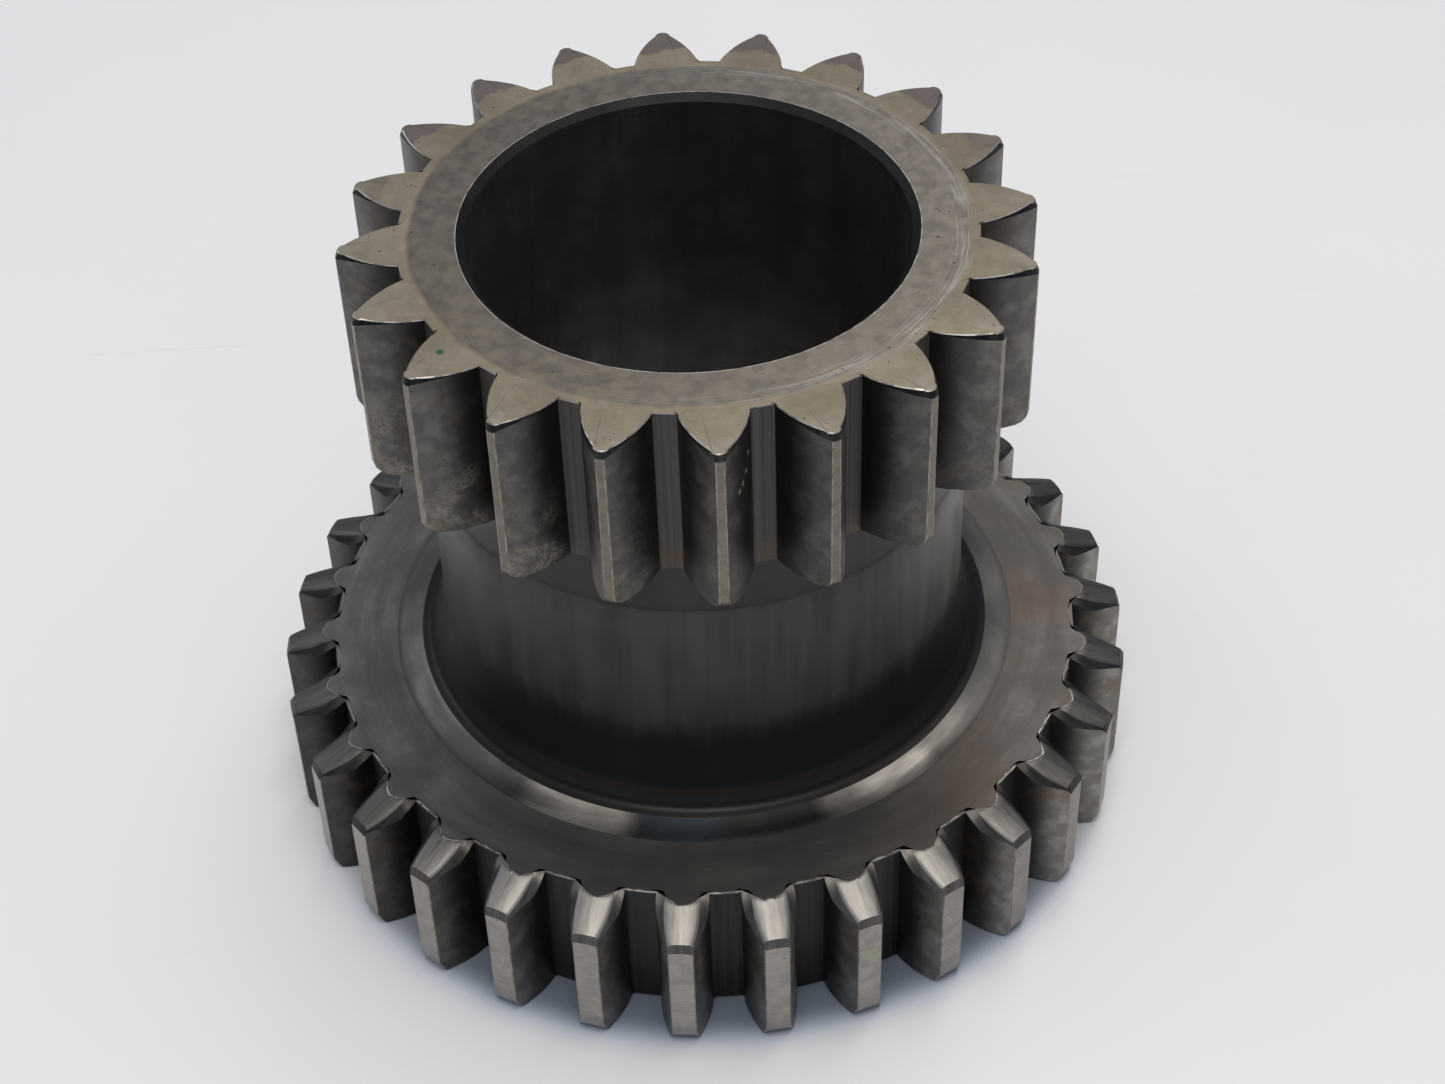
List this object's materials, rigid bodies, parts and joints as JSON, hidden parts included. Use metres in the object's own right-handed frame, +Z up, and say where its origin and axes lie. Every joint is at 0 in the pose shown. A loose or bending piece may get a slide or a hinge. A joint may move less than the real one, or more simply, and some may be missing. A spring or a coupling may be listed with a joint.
{
  "type": "idler gear",
  "caption": "Steel idler gear with a small spur gear on a long neck above a larger spur gear, whose tooth ends are rounded for sliding mesh; it turns on a shaft in its plain bore.",
  "frame": {"origin": "centre of the bore in the lower face of the large gear, which the part stands on", "axes": "+Z up along the bore to the small gear, +X through the middle of a tooth of the large gear, +Y completes the right-handed frame; in the picture the camera looks from about -Y and above"},
  "size_m": [0.1264, 0.1262, 0.095],
  "materials": {
    "gear_steel": "worn case-hardened steel, tan oxide film on the sides, bright along the edges"
  },
  "bodies": {
    "root": {"idler_gear": "gear_steel"}
  },
  "joints": []
}
